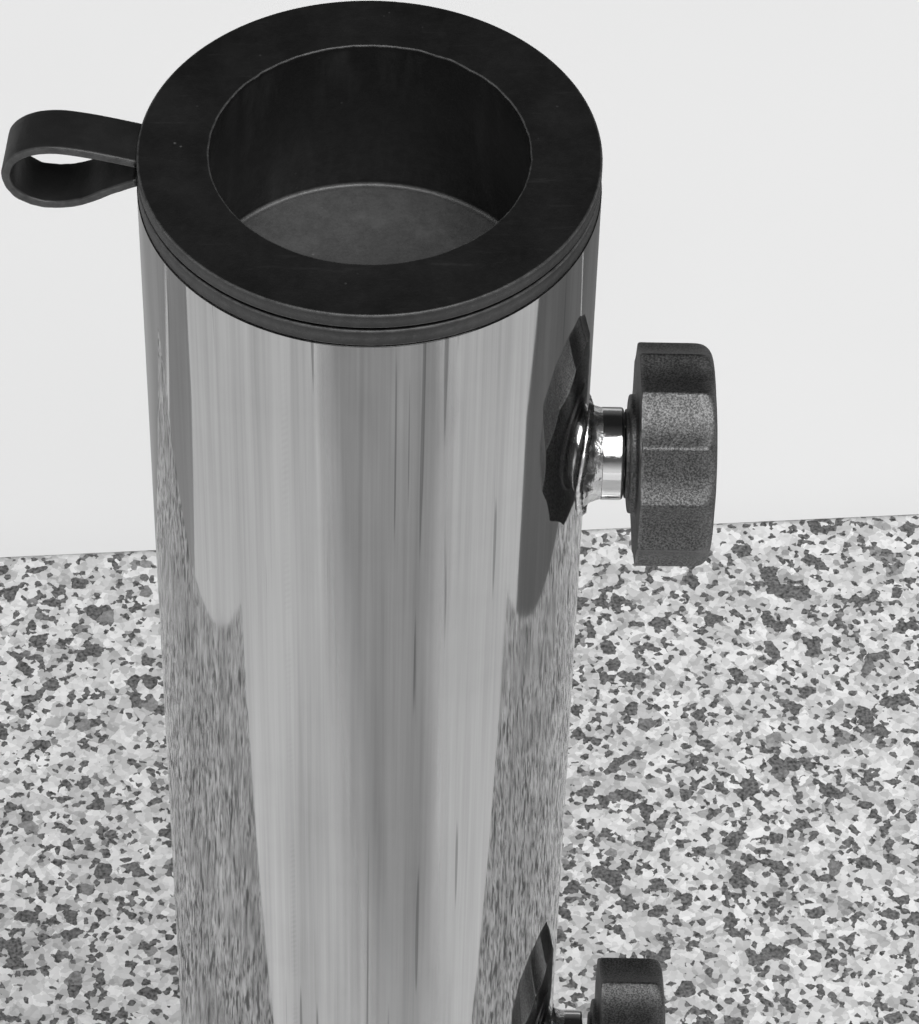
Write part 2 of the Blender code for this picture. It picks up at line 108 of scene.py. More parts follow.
# centreline of the strap's loop: distance from the tube's axis, height from the plug's top face
STRAP_LOOP = [(0.0298, -0.0011), (0.0336, -0.0003), (0.0370, 0.0003), (0.0405, 0.0006),
              (0.0436, 0.0000), (0.0460, -0.0017), (0.0469, -0.0044), (0.0459, -0.0070),
              (0.0435, -0.0086), (0.0405, -0.0089), (0.0370, -0.0080), (0.0336, -0.0061),
              (0.0298, -0.0042)]

BOSS_RADIUS = 0.00646
BOSS_END = 0.0353
BOSS_EDGE = 0.0005
NECK_END = 0.0322               # where the boss's narrower neck ends; the weld bead hides it
NECK_RADIUS = 0.0055
BEAD_REACH = 0.0027             # how far the boss's weld bead spreads over the tube
BEAD_RISE = 0.0025              # how far it climbs the boss, where the neck's end isn't higher
BEAD_RUN = 0.0010               # the extra reach of the run at its lower side
BEAD_ROOT = 0.0006              # how deep its hidden underside lies in the tube's wall
CLAMP_HOLE = BOLT_RADIUS * 1.07  # radius of the holes that the studs enter the tube by
STUD_TIP = 0.0180
STUD_HEAD = 0.0045              # length of the stud's end, which is moulded into the knob
STUD_CHAMFER = 0.0008
THREAD_PITCH = 0.00125
THREAD_DEPTH = 0.00068
KNOB_FACE = 0.0355
KNOB_COLLAR = 0.0062
KNOB_HUB_START = 0.0360
KNOB_HUB = 0.0083
KNOB_BACK = 0.0371
KNOB_FRONT = 0.0481
KNOB_RADIUS = 0.0157
KNOB_ROUNDING = 0.0028
KNOB_FLUTES = 12
STEPS_PER_FLUTE = 28
FLUTE_DEPTH = 0.00124
FLUTE_RADIUS = 0.0119
RIDGE_SOFTNESS = 0.00022        # how softly two flutes meet in a ridge
CAP_RADIUS = 0.0104             # the slightly domed cap in the knob's front face
CAP_RISE = 0.0007
STUD_HEAD_START = 0.0401
# each clamp: how far its screw is backed out, and the angle of a ridge of its knob
CLAMPS = {"upper": (0.0, radians(130.8)), "lower": (0.0009, radians(110.8))}

ON_AXIS = 1e-7                  # a smaller radius counts as zero
FLOOR_REACH = 9.0
CARD_HEIGHT = 0.002
CAMERA_LENS = 144.13
CAMERA_FROM_PLUG = Vector((-0.02660, -0.39017, 0.35803))
CAMERA_TURN = (radians(42.515), radians(-1.076), radians(-4.608))


def screw_frame(side, backed_out=0.0):
    height = middle(f"{side}_boss").z
    return (TUBE_FRAME @ Matrix.Translation((backed_out, 0, height))
            @ Matrix.Rotation(pi / 2, 4, "Y"))


# ---------------------------------------------------------------- materials
class Paint:
    """A node material, and short ways to add nodes to it.  Colours are greys."""

    def __init__(self, name, metallic=0.0, specular=0.5):
        self.material = bpy.data.materials.new(name)
        self.material.use_nodes = True
        self.tree = self.material.node_tree
        self.shader = self.tree.nodes["Principled BSDF"]
        self.shader.inputs["Metallic"].default_value = metallic
        self.shader.inputs["Specular IOR Level"].default_value = specular
        self.point = self.add("TexCoord").outputs["Object"]

    def add(self, kind, inputs=(), **settings):
        node = self.tree.nodes.new("ShaderNode" + kind)
        for key, value in settings.items():
            setattr(node, key, value)
        for key, value in dict(inputs).items():
            self.put(node.inputs[key], value)
        return node

    def put(self, socket, value):
        if isinstance(value, bpy.types.NodeSocket):
            self.tree.links.new(value, socket)
        else:
            socket.default_value = value

    def stretched(self, x, y, z):
        mapping = self.add("Mapping", {"Vector": self.point, "Scale": (x, y, z)})
        return mapping.outputs["Vector"]

    def noise(self, scale, detail=3.0, rough=0.5, at=None):
        node = self.add("TexNoise", {"Vector": at or self.point, "Scale": scale,
                                     "Detail": detail, "Roughness": rough})
        return node.outputs[0]

    def cells(self, scale, output="Distance", at=None):
        node = self.add("TexVoronoi", {"Vector": at or self.point, "Scale": scale})
        return node.outputs[output]

    def span(self, value, low, high, to_low=0.0, to_high=1.0, smooth=False):
        """Maps low..high to to_low..to_high and holds the ends."""
        kind = "SMOOTHSTEP" if smooth else "LINEAR"
        node = self.add("MapRange", {0: value, 1: low, 2: high, 3: to_low, 4: to_high},
                        interpolation_type=kind)
        return node.outputs[0]

    def calc(self, operation, first, second=0.0):
        return self.add("Math", {0: first, 1: second}, operation=operation).outputs[0]

    def mix(self, share, first, second):
        return self.add("Mix", {0: share, 2: first, 3: second}).outputs[0]

    def worn_and_lit(self):
        return self.add("Attribute", attribute_name="wear_and_painted_light").outputs["Fac"]

    def split(self, vector=None):
        return self.add("SeparateXYZ", {0: vector or self.point}).outputs

    def finish(self, colour, rough, height=None, depth=0.00002):
        """depth: how far the surface rises, in metres, as height goes from 0 to 1."""
        self.put(self.shader.inputs["Base Color"], colour)
        self.put(self.shader.inputs["Roughness"], rough)
        if height is not None:
            bump = self.add("Bump", {"Height": height, "Distance": depth, "Strength": 1.0})
            self.put(self.shader.inputs["Normal"], bump.outputs[0])
        return self.material


def tube_steel():
    """Polished tube: faint lengthwise polishing streaks, handling smears, a ground-down seam, and a
    painted shadow that darkens its top edge under the collar.
    """
    paint = Paint("polished_tube", metallic=1.0)
    streaks = paint.noise(1.0, 4.0, 0.6, paint.stretched(1100, 1100, 9))
    smears = paint.span(paint.noise(38.0, 5.0, 0.62), 0.42, 0.72, smooth=True)
    clouds = paint.noise(16.0, 3.0, 0.5, paint.stretched(1, 1, 0.45))
    marks = paint.span(paint.noise(1.0, 1.0, 0.4, paint.stretched(900, 900, 14)), 0.70, 0.73)
    x, y, z = paint.split()
    seam_angle = radians(-110)
    side = paint.calc("SUBTRACT", paint.calc("MULTIPLY", x, sin(seam_angle)),
                      paint.calc("MULTIPLY", y, cos(seam_angle)))
    front = paint.calc("ADD", paint.calc("MULTIPLY", x, cos(seam_angle)),
                       paint.calc("MULTIPLY", y, sin(seam_angle)))
    near = paint.span(paint.calc("ABSOLUTE", side), 0.0003, 0.0006, 1.0, 0.0)
    near = paint.calc("MULTIPLY", near, paint.span(front, 0.02, 0.021))
    slant = paint.calc("ADD", paint.calc("MULTIPLY", z, 5200.0),
                       paint.calc("MULTIPLY", side, 5200.0))
    hatch = paint.span(paint.calc("SINE", slant), -1.0, 1.0)
    seam = paint.calc("MULTIPLY", near, hatch)
    seam = paint.calc("MULTIPLY", seam, paint.span(paint.noise(70.0), 0.42, 0.62))
    broad = paint.noise(1.0, 2.0, 0.5, paint.stretched(260, 260, 5))
    fine = paint.noise(1.0, 3.0, 0.6, paint.stretched(1700, 1700, 16))
    colour = paint.calc("ADD", paint.span(clouds, 0.3, 0.7, 0.40, 0.44),
                        paint.span(broad, 0.3, 0.7, -0.055, 0.055))
    colour = paint.calc("ADD", colour, paint.span(fine, 0.3, 0.7, -0.04, 0.04))
    colour = paint.calc("SUBTRACT", colour, paint.calc("MULTIPLY", smears, 0.025))
    colour = paint.calc("SUBTRACT", colour, paint.calc("MULTIPLY", marks, 0.16))
    colour = paint.calc("SUBTRACT", colour, paint.calc("MULTIPLY", seam, 0.03))
    # painted shadow: the top edge is darkened where the collar shades it
    colour = paint.calc("MULTIPLY", colour, paint.span(paint.worn_and_lit(), 0.0, 0.6, 1.0, 0.12))
    rough = paint.calc("ADD", paint.span(streaks, 0.3, 0.7, 0.02, 0.05),
                       paint.calc("MULTIPLY", smears, 0.05))
    rough = paint.calc("ADD", rough, paint.calc("MULTIPLY", seam, 0.08))
    height = paint.calc("ADD", streaks, paint.calc("MULTIPLY", seam, 1.5))
    return paint.finish(colour, rough, height, 0.0000012)


def plate_steel():
    """Stainless plate and fasteners: fine brushing, dull patches and bright worn edges."""
    paint = Paint("brushed_steel", metallic=1.0)
    brushing = paint.noise(1.0, 4.0, 0.65, paint.stretched(60, 1500, 1500))
    patches = paint.noise(70.0, 4.0, 0.6)
    marks = paint.span(paint.noise(1.0, 1.0, 0.4, paint.stretched(900, 40, 300)), 0.72, 0.75)
    colour = paint.span(patches, 0.3, 0.7, 0.42, 0.54)
    colour = paint.calc("ADD", colour, paint.calc("MULTIPLY", paint.worn_and_lit(), 0.12))
    colour = paint.calc("SUBTRACT", colour, paint.calc("MULTIPLY", marks, 0.12))
    rough = paint.calc("ADD", paint.span(brushing, 0.3, 0.7, 0.20, 0.32),
                       paint.span(patches, 0.4, 0.8, 0.0, 0.10))
    return paint.finish(colour, rough, brushing, 0.000006)


def chrome():
    """Bright bosses and studs: pinholes, water spots and slight ripples."""
    paint = Paint("bright_chrome", metallic=1.0)
    ripples = paint.noise(420.0, 2.0, 0.5)
    spots = paint.span(paint.cells(650.0), 0.10, 0.22, 1.0, 0.0)
    spots = paint.calc("MULTIPLY", spots, paint.span(paint.noise(300.0), 0.55, 0.62))
    film = paint.noise(140.0, 4.0, 0.6)
    colour = paint.calc("SUBTRACT", paint.span(film, 0.3, 0.7, 0.62, 0.74),
                        paint.calc("MULTIPLY", spots, 0.25))
    rough = paint.calc("ADD", paint.span(film, 0.35, 0.75, 0.05, 0.16),
                       paint.calc("MULTIPLY", spots, 0.2))
    return paint.finish(colour, rough, ripples, 0.00002)


def weld_metal():
    """Weld beads, chromed over: ripples and spatter that break up the highlights."""
    paint = Paint("weld_metal", metallic=1.0)
    ripples = paint.noise(700.0, 3.0, 0.6)
    pits = paint.span(paint.cells(900.0), 0.10, 0.25, 1.0, 0.0)
    film = paint.noise(260.0, 4.0, 0.6)
    colour = paint.calc("SUBTRACT", paint.span(film, 0.3, 0.7, 0.56, 0.74),
                        paint.calc("MULTIPLY", pits, 0.12))
    return paint.finish(colour, paint.span(film, 0.3, 0.7, 0.16, 0.36), ripples, 0.00012)


def zinc():
    """Zinc-plated screws and anchors: crystalline mottling and dull spots."""
    paint = Paint("zinc_plate", metallic=1.0)
    crystals = paint.cells(900.0, "Color")
    film = paint.noise(220.0, 4.0, 0.6)
    colour = paint.calc("ADD", paint.span(crystals, 0.0, 1.0, 0.40, 0.50),
                        paint.span(film, 0.3, 0.7, -0.06, 0.06))
    return paint.finish(colour, paint.span(film, 0.3, 0.7, 0.28, 0.46), film, 0.00001)


def cup_streaks_and_floor_tone(paint):
    """Streaks down the inside of the plug's cup, and a lighter, speckled floor with one darker patch."""
    floor_height = PLUG_TOP - CUP_DEPTH
    from_axis = paint.add("VectorMath", {0: paint.stretched(1, 1, 0)}, operation="LENGTH")
    inside = paint.span(from_axis.outputs["Value"], CUP_FLOOR_RADIUS, CUP_OUTER, 1.0, 0.0)
    height = paint.split()["Z"]
    under_mouth = paint.span(height, PLUG_TOP - 0.0012, PLUG_TOP - 0.0004, 1.0, 0.0)
    inside = paint.calc("MULTIPLY", inside, under_mouth)
    runs = paint.noise(1.0, 4.0, 0.6, paint.stretched(190, 190, 30))
    runs = paint.span(runs, 0.50, 0.70)
    on_floor = paint.span(height, floor_height + 0.0002, floor_height + 0.0007, 1.0, 0.0)
    from_patch = paint.add("VectorMath", {0: paint.point, 1: (*DARKER_PATCH, floor_height)},
                           operation="DISTANCE").outputs["Value"]
    uneven = paint.span(paint.noise(240.0, 5.0, 0.6), 0.3, 0.7, -0.0030, 0.0030)
    patch_dimming = paint.span(paint.calc("ADD", from_patch, uneven), 0.0090, 0.0102, 0.40, 1.0)
    floor_speckle = paint.span(paint.noise(2300.0, 2.0, 0.6), 0.3, 0.7, 0.72, 1.0)
    lighter_floor = paint.calc("MULTIPLY", paint.calc("MULTIPLY", on_floor, floor_speckle), patch_dimming)
    return paint.calc("MULTIPLY", inside, runs), paint.calc("MULTIPLY", inside, lighter_floor)


def moulded_rubber(name, base):
    """Matt black rubber: bloom, light specks, rubbed streaks, streaks inside the cup, a lighter cup
    floor, painted highlights on ragged edges and painted light on the side faces.
    """
    paint = Paint(name, specular=0.50)
    bloom = paint.noise(120.0, 6.0, 0.62)
    dust = paint.noise(700.0, 5.0, 0.72)
    grain = paint.noise(2600.0, 3.0, 0.6)
    specks = paint.span(paint.cells(520.0), 0.05, 0.12, 1.0, 0.0)
    specks = paint.calc("MULTIPLY", specks, paint.span(paint.noise(260.0), 0.58, 0.68))
    rubbed = paint.noise(1.0, 3.0, 0.6, paint.stretched(130, 900, 60))
    rubbed = paint.span(rubbed, 0.62, 0.76)
    film = paint.span(paint.noise(26.0, 5.0, 0.65), 0.46, 0.72, smooth=True)
    # painted highlights on the edges and painted light on the side faces, broken up by the dust noise
    painted_edge_light = paint.calc("MULTIPLY", paint.worn_and_lit(), paint.span(dust, 0.36, 0.60, 0.35, 1.0))
    streaks, lighter_floor = cup_streaks_and_floor_tone(paint)
    colour = paint.span(bloom, 0.3, 0.7, base * 0.72, base * 1.35)
    for layer, amount in ((paint.span(dust, 0.45, 0.75), 0.003), (specks, 0.06), (film, 0.007),
                          (rubbed, 0.006), (painted_edge_light, 0.075), (streaks, 0.018), (lighter_floor, 0.048)):
        colour = paint.calc("ADD", colour, paint.calc("MULTIPLY", layer, amount))
    height = paint.calc("ADD", grain, paint.calc("MULTIPLY", dust, 1.5))
    return paint.finish(colour, paint.span(bloom, 0.3, 0.7, 0.40, 0.50), height, 0.00003)


def foot_rubber():
    paint = Paint("foot_rubber", specular=0.25)
    grain = paint.noise(900.0, 4.0, 0.6)
    dirt = paint.noise(60.0, 5.0, 0.6)
    colour = paint.calc("ADD", paint.span(dirt, 0.35, 0.75, 0.018, 0.05),
                        paint.span(grain, 0.4, 0.8, 0.0, 0.012))
    return paint.finish(colour, paint.span(dirt, 0.3, 0.7, 0.65, 0.85), grain, 0.00006)


def knob_plastic():
    """Dark plastic with a fine sparkling grain, dusty in patches and scuffed on its ridges."""
    paint = Paint("knob_plastic")
    paint.shader.inputs["IOR"].default_value = 1.74
    grain = paint.noise(3600.0, 2.0, 0.7)
    sparkle = paint.span(grain, 0.40, 0.64)
    coarse = paint.noise(320.0, 4.0, 0.6)
    dust = paint.noise(90.0, 5.0, 0.6)
    scuffs = paint.calc("MULTIPLY", paint.worn_and_lit(), paint.span(coarse, 0.42, 0.66))
    colour = paint.calc("ADD", paint.span(grain, 0.35, 0.7, 0.004, 0.012),
                        paint.span(dust, 0.4, 0.75, 0.0, 0.005))
    colour = paint.calc("ADD", colour, paint.calc("MULTIPLY", scuffs, 0.05))
    specular = paint.calc("ADD", paint.span(sparkle, 0.0, 1.0, 0.30, 1.0),
                          paint.calc("MULTIPLY", paint.worn_and_lit(), 0.2))
    paint.put(paint.shader.inputs["Specular IOR Level"], specular)
    return paint.finish(colour, paint.span(coarse, 0.3, 0.7, 0.44, 0.54), grain, 0.00004)


def nylon():
    paint = Paint("dark_nylon", specular=0.4)
    grain = paint.noise(1400.0, 3.0, 0.6)
    stain = paint.noise(160.0, 5.0, 0.6)
    colour = paint.span(stain, 0.3, 0.7, 0.07, 0.13)
    return paint.finish(colour, paint.span(stain, 0.3, 0.7, 0.45, 0.6), grain, 0.00003)


def granite():
    """Fine-grained grey granite: pale feldspar and quartz, dark mica, polished."""
    paint = Paint("granite", specular=0.5)
    swirl = paint.add("TexNoise", {"Vector": paint.point, "Scale": 800.0}).outputs["Color"]
    warped = paint.add("VectorMath", {0: swirl, 1: (0.0012, 0.0012, 0.0012), 2: paint.point},
                       operation="MULTIPLY_ADD")
    at = warped.outputs[0]
    coarse = paint.split(paint.cells(350.0, "Color", at))[0]
    fine = paint.split(paint.cells(820.0, "Color", at))[1]
    haze = paint.noise(70.0, 4.0, 0.6)
    stone = paint.calc("ADD", paint.span(coarse, 0.0, 1.0, 0.42, 0.78),
                       paint.span(fine, 0.0, 1.0, -0.14, 0.14))
    stone = paint.calc("ADD", stone, paint.span(haze, 0.3, 0.7, -0.06, 0.06))
    mica = paint.calc("MAXIMUM", paint.span(coarse, 0.10, 0.13, 1.0, 0.0),
                      paint.span(fine, 0.20, 0.24, 1.0, 0.0))
    colour = paint.mix(mica, stone, paint.span(paint.noise(1500.0), 0.3, 0.7, 0.04, 0.24))
    rough = paint.mix(mica, paint.span(haze, 0.3, 0.7, 0.16, 0.26), 0.34)
    height = paint.calc("MULTIPLY", mica, paint.noise(900.0))
    return paint.finish(colour, rough, height, 0.00004)


TUBE_STEEL = tube_steel()
PLATE_STEEL = plate_steel()
CHROME = chrome()
WELD_METAL = weld_metal()
ZINC = zinc()
PLUG_RUBBER = moulded_rubber("plug_rubber", 0.004)
FOOT_RUBBER = foot_rubber()
KNOB_PLASTIC = knob_plastic()
NYLON = nylon()
GRANITE = granite()


# ---------------------------------------------------------------- shape helpers
def add_object(name, data):
    thing = bpy.data.objects.new(name, data)
    bpy.context.scene.collection.objects.link(thing)
    return thing


def from_bmesh(name, bm):
    mesh = bpy.data.meshes.new(name)
    bm.to_mesh(mesh)
    bm.free()
    return add_object(name, mesh)


def outline(corners, closed=True, arc=5, span=None):
    """Rounds an outline's corners.

    Corners are (radius, height, rounding, wear_and_painted_light).  The result is a list of (radius,
    height, wear_and_painted_light).
    """
    made = []
    count = len(corners)
    for index, (radius, height, rounding, wear_and_painted_light) in enumerate(corners):
        here = Vector((radius, height))
        if rounding == 0 or (not closed and index in (0, count - 1)):
            made.append((radius, height, wear_and_painted_light))
            continue
        ends = []
        for other in (corners[index - 1], corners[(index + 1) % count]):
            towards = Vector(other[:2]) - here
            ends.append(here + towards.normalized() * min(rounding, 0.49 * towards.length))
        for step in range(arc + 1):
            t = step / arc
            point = ends[0] * (1 - t) ** 2 + here * 2 * t * (1 - t) + ends[1] * t * t
            made.append((point.x, point.y, wear_and_painted_light * sin(pi * t)))
    if span is None:
        return made
    spaced = []
    pairs = list(zip(made, made[1:] + made[:1]))
    for start, end in pairs if closed else pairs[:-1]:
        length = (Vector(end[:2]) - Vector(start[:2])).length
        pieces = max(1, round(length / span))
        for piece in range(pieces):
            t = piece / pieces
            spaced.append(tuple(a + (b - a) * t for a, b in zip(start, end)))
    return spaced if closed else spaced + [made[-1]]


def skin(name, rows, mat, place, closed=False, wear_and_painted_light=None):
    """A mesh over rows of points; a row of one point closes that end."""
    bm = bmesh.new()
    # per point: wear on metal and plastic; on rubber, painted highlights and painted light on side
    # faces; on the tube, a painted shadow
    layer = bm.verts.layers.float.new("wear_and_painted_light")
    made = []
    for index, row in enumerate(rows):
        made.append([bm.verts.new(point) for point in row])
        for number, vert in enumerate(made[-1]):
            value = wear_and_painted_light[index] if wear_and_painted_light else 0.0
            vert[layer] = value[number] if isinstance(value, list) else value
    pairs = list(zip(made, made[1:] + made[:1]))
    for first, second in pairs if closed else pairs[:-1]:
        count = max(len(first), len(second))
        for k in range(count):
            after = (k + 1) % count
            corners = []
            for row, number in ((first, k), (first, after), (second, after), (second, k)):
                vert = row[number] if len(row) > 1 else row[0]
                if vert not in corners:
                    corners.append(vert)
            bm.faces.new(corners)
    bmesh.ops.recalc_face_normals(bm, faces=bm.faces)
    thing = from_bmesh(name, bm)
    thing.data.shade_smooth()
    thing.data.materials.append(mat)
    thing.matrix_world = place
    thing.modifiers.new("even shading", "WEIGHTED_NORMAL").keep_sharp = True
    return thing


def turned(name, profile, mat, place, steps=96, closed=True, shape=None):
    """Turns an outline about the place's Z.  shape(radius, height, angle) bends a point."""
    rows, wear_and_painted_light = [], []
    for radius, height, worn_and_lit in profile:
        wear_and_painted_light.append(worn_and_lit)
        if radius < ON_AXIS:
            rows.append([Vector((0, 0, height))])
            continue
        row = []
        for k in range(steps):
            angle = 2 * pi * k / steps
            r, h = shape(radius, height, angle) if shape else (radius, height)
            row.append(Vector((r * cos(angle), r * sin(angle), h)))
        rows.append(row)
    return skin(name, rows, mat, place, closed, wear_and_painted_light)


def stand_for(thing, body, node):
    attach(thing, body)
    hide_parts(node)


def wobble(angle, height, size):
    """Smooth noise round an axis, from about -1 to 1."""
    return noise.noise(Vector((cos(angle) * size, sin(angle) * size, height)))


# ---------------------------------------------------------------- slab, flange and fasteners
def make_slab():
    bm = bmesh.new()
    bmesh.ops.create_cube(bm, size=1.0)
    bmesh.ops.scale(bm, vec=SLAB_HIGH - SLAB_LOW, verts=bm.verts)
    bmesh.ops.bevel(bm, geom=bm.edges[:], offset=SLAB_EDGE, segments=4, profile=0.5,
                    affect="EDGES", clamp_overlap=True)
    slab = from_bmesh("granite_slab_stone", bm)
    slab.data.shade_smooth()
    slab.data.materials.append(GRANITE)
    slab.location = middle("granite_slab")
    slab.modifiers.new("even shading", "WEIGHTED_NORMAL").keep_sharp = True
    stand_for(slab, "root", "granite_slab")


def make_flange():
    e = FLANGE_EDGE
    profile = outline([(DRAIN_RADIUS, FLANGE_TOP, e, 1), (FLANGE_RADIUS, FLANGE_TOP, e, 1),
                       (FLANGE_RADIUS, FLANGE_BOTTOM, e, 1), (DRAIN_RADIUS, FLANGE_BOTTOM, e, 1)],
                      span=0.006)
    flange = turned("base_flange_plate", profile, PLATE_STEEL, TUBE_FRAME, 160)
    stand_for(flange, "root", "base_flange")


def make_base_weld():
    """A welded fillet round the tube, laid in overlapping ripples."""
    steps = BASE_WELD_RIPPLES * 6
    section = 9
    rows = []
    for row in range(section + 1):
        t = row / section * pi / 2
        points = []
        for k in range(steps):
            angle = 2 * pi * k / steps
            ripple = (k * BASE_WELD_RIPPLES / steps + 0.18 * sin(t)) % 1.0
            swell = 1.0 + 0.07 * sin(pi * ripple) + 0.10 * wobble(angle, row * 0.05, 3.0)
            leg = BASE_WELD_LEG * swell * (1.0 - 0.20 * sin(2 * t))
            radius = TUBE_OUTER + leg * sin(t)
            height = FLANGE_TOP + leg * cos(t)
            points.append(Vector((radius * cos(angle), radius * sin(angle), height)))
        rows.append(points)
    inside = [Vector((p.x, p.y, FLANGE_TOP)) for p in rows[0]]
    weld = skin("base_weld_bead", rows + [inside], WELD_METAL, TUBE_FRAME, closed=True)
    stand_for(weld, "root", "base_weld")


def make_fasteners():
    """Hex bolts with chamfered heads on round-edged washers."""
    apothem = BOLT_FLATS / 2
    chamfer = 0.94 * apothem
    for index in range(1, 5):
        low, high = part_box(f"flange_washer_{index}")
        centre = (low + high) / 2
        place = Matrix.Translation((centre.x, centre.y, 0))
        e = WASHER_EDGE
        radius = (high.x - low.x) / 2
        profile = outline([(BOLT_RADIUS, high.z, e, 0), (radius, high.z, e, 1),
                           (radius, low.z, e, 1), (BOLT_RADIUS, low.z, e, 0)])
        washer = turned(f"washer_{index}", profile, PLATE_STEEL, place, 64)
        stand_for(washer, "root", f"flange_washer_{index}")

        bottom = high.z
        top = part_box(f"flange_bolt_{index}")[1].z
        turn = TUBE_YAW + index * BOLT_TURN

        def hexagon(radius, height, angle):
            if radius < apothem:
                return radius, height
            side = (angle + pi / 6) % (pi / 3) - pi / 6
            reach = apothem / cos(side)
            if height > bottom + 0.001:
                height = top - (reach - chamfer) * tan(pi / 6)
            return reach, height

        profile = [(0, top, 0), (chamfer * 0.9, top, 0), (chamfer, top - 0.00005, 1),
                   (apothem, top, 1), (apothem, bottom + 0.0003, 0), (chamfer, bottom, 0),
                   (BOLT_RADIUS, bottom, 0), (BOLT_RADIUS, bottom - BOLT_LENGTH, 0),
                   (0, bottom - BOLT_LENGTH, 0)]
        bolt = turned(f"hex_bolt_{index}", profile, PLATE_STEEL,
                      place @ Matrix.Rotation(turn, 4, "Z"), 72, False, hexagon)
        bolt.data.set_sharp_from_angle(angle=radians(28))
        stand_for(bolt, "root", f"flange_bolt_{index}")


# ---------------------------------------------------------------- tube, bosses and welds
def make_tube():
    e = TUBE_EDGE
    low, high = TUBE_LOW.z, TUBE_HIGH.z + TUBE_RAISED
    # the top corners carry the painted shadow under the collar
    profile = outline([(TUBE_INNER, high, e, 1), (TUBE_OUTER, high, e, 1),
                       (TUBE_OUTER, low, e, 0), (TUBE_INNER, low, e, 0)], span=0.02)
    tube = turned("steel_tube", profile, TUBE_STEEL, TUBE_FRAME, 256)
    tube.modifiers.remove(tube.modifiers["even shading"])
    bm = bmesh.new()
    for side in CLAMPS:
        hole = screw_frame(side) @ Matrix.Translation((0, 0, TUBE_OUTER))
        bmesh.ops.create_cone(bm, cap_ends=True, segments=48, radius1=CLAMP_HOLE,
                              radius2=CLAMP_HOLE, depth=TUBE_OUTER, matrix=hole)
    cutter = from_bmesh("clamp_holes", bm)
    holes = tube.modifiers.new("clamp holes", "BOOLEAN")
    holes.operation, holes.solver, holes.object = "DIFFERENCE", "EXACT", cutter
    bpy.context.view_layer.update()
    graph = bpy.context.evaluated_depsgraph_get()
    pierced = bpy.data.meshes.new_from_object(tube.evaluated_get(graph))
    tube.modifiers.clear()
    tube.data = pierced
    pierced.set_sharp_from_angle(angle=radians(50))
    bpy.data.objects.remove(cutter)
    stand_for(tube, "root", "socket_tube")


def make_boss(side):
    e = BOSS_EDGE
    start = TUBE_OUTER - 0.002
    inner = BOLT_RADIUS + 0.0002
    profile = outline([(inner, BOSS_END, e, 0), (BOSS_RADIUS, BOSS_END, e, 1),
                       (BOSS_RADIUS, NECK_END, 0.0002, 0), (NECK_RADIUS, NECK_END, 0, 0),
                       (NECK_RADIUS, start, 0, 0), (inner, start, 0, 0)], span=0.0008)
    boss = turned(f"{side}_boss_sleeve", profile, CHROME, screw_frame(side), 96)
    stand_for(boss, "root", f"{side}_boss")


def make_boss_weld(side, seed):
    """An uneven bead that follows the tube's curve round the boss, with a run at its lower side."""
    steps, section = 180, 16
    inner = BOSS_RADIUS - 0.0001
    rows = []

    def on_tube(s, angle, height):
        """The point at radius s from the screw's axis and at this height over the tube."""
        x, y = s * cos(angle), s * sin(angle)
        return Vector((x, y, sqrt(TUBE_OUTER ** 2 - y * y) + height))

    for row in range(section + 1):
        t = (row / section) ** 1.6      # from the boss, 0, to the bead's outer edge, 1
        points = []
        for k in range(steps):
            angle = 2 * pi * k / steps
            reach = BEAD_REACH + BEAD_RUN * max(0.0, cos(angle - 0.5)) ** 8
            reach += 0.0005 * wobble(angle, seed, 2.2) + 0.0002 * wobble(angle, seed, 7.0)
            s = inner + reach * t + 0.00016 * wobble(angle, seed + 40 * t, 5.0) * sin(pi * t)
            rise = BEAD_RISE + 0.0005 * wobble(angle, seed + 5, 2.6)
            rise = max(rise, NECK_END + 0.0003 - on_tube(BOSS_RADIUS, angle, 0).z)
            lump = 0.00045 * wobble(angle, seed + 3 * t, 4.5) + 0.00016 * wobble(angle, 4 * t, 12.0)
            rim = 0.00060 * exp(-((t - 0.78) / 0.13) ** 2)
            crease = 0.00045 * exp(-((t - 0.50) / 0.09) ** 2)
            climb = 0.3 * (1 - t) + 0.7 * (1 - t) ** 7
            lift = rise * climb + lump * sin(pi * t) + rim - crease
            points.append(on_tube(s, angle, lift * (t < 1) - 0.0001))
        rows.append(points)
    for s in (BOSS_RADIUS + 0.0020, inner):
        rows.append([on_tube(s, 2 * pi * k / steps, -BEAD_ROOT) for k in range(steps)])
    bead = skin(f"{side}_boss_bead", rows, WELD_METAL, screw_frame(side), closed=True)
    bead.modifiers.remove(bead.modifiers["even shading"])
    stand_for(bead, "root", f"{side}_boss_weld")


# ---------------------------------------------------------------- clamp screws
def make_stud(side, backed_out):
    """M8 stud: a helical thread with a chamfered tip."""
    end = STUD_HEAD_START + STUD_HEAD
    rows = [[Vector((0, 0, STUD_TIP))]]
    pitch_rows = 10
    steps = 40
    height = STUD_TIP
    while height < end:
        tip = min(1.0, (height - STUD_TIP) / STUD_CHAMFER)
        row = []
        for k in range(steps):
            angle = 2 * pi * k / steps
            turn = (height / THREAD_PITCH - angle / (2 * pi)) % 1.0
            groove = max(0.0, 1.0 - abs(turn - 0.5) / 0.42)
            radius = min(BOLT_RADIUS - THREAD_DEPTH * groove,
                         BOLT_RADIUS - THREAD_DEPTH * 1.2 * (1 - tip))
            row.append(Vector((radius * cos(angle), radius * sin(angle), height)))
        rows.append(row)
        height += THREAD_PITCH / pitch_rows
    rows.append([Vector((0, 0, end))])
    stud = skin(f"{side}_threaded_stud", rows, CHROME, screw_frame(side, backed_out))
    stud.modifiers.remove(stud.modifiers["even shading"])
    stand_for(stud, f"{side}_screw", f"{side}_stud")


